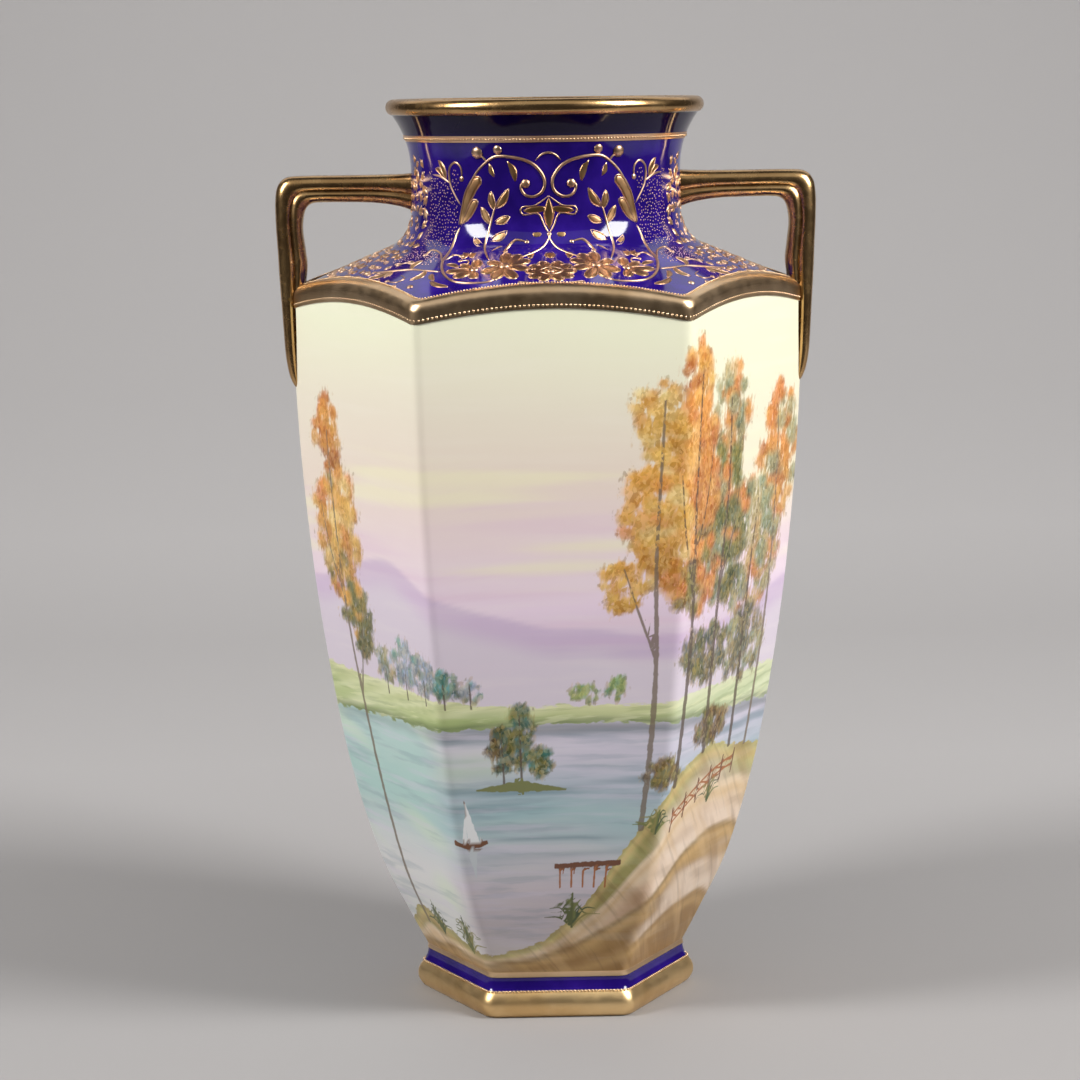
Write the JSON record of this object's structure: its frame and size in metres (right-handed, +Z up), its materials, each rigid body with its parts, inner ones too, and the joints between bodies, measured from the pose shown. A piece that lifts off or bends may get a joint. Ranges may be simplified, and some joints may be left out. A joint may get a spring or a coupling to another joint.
{
  "type": "twin-handled vase",
  "caption": "Hollow six-sided porcelain vase with a round flared neck, a moulded foot and two square-shouldered loop handles, painted and gilded.",
  "frame": {"origin": "centre of the underside, on the surface that the vase stands on", "axes": "+Z up along the vase's axis, the handles along +X and -X, and the main painted face towards -Y"},
  "size_m": [0.1812, 0.1516, 0.305],
  "materials": {
    "porcelain": "satin glaze over a painted landscape, bare white inside and under the foot",
    "cobalt_glaze": "deep blue glossy glaze on the shoulder, neck and foot",
    "gilding": "burnished gold on the handles, lip, shoulder edge and foot, and raised gold ornament"
  },
  "bodies": {
    "root": {"vase": "porcelain"}
  },
  "joints": []
}
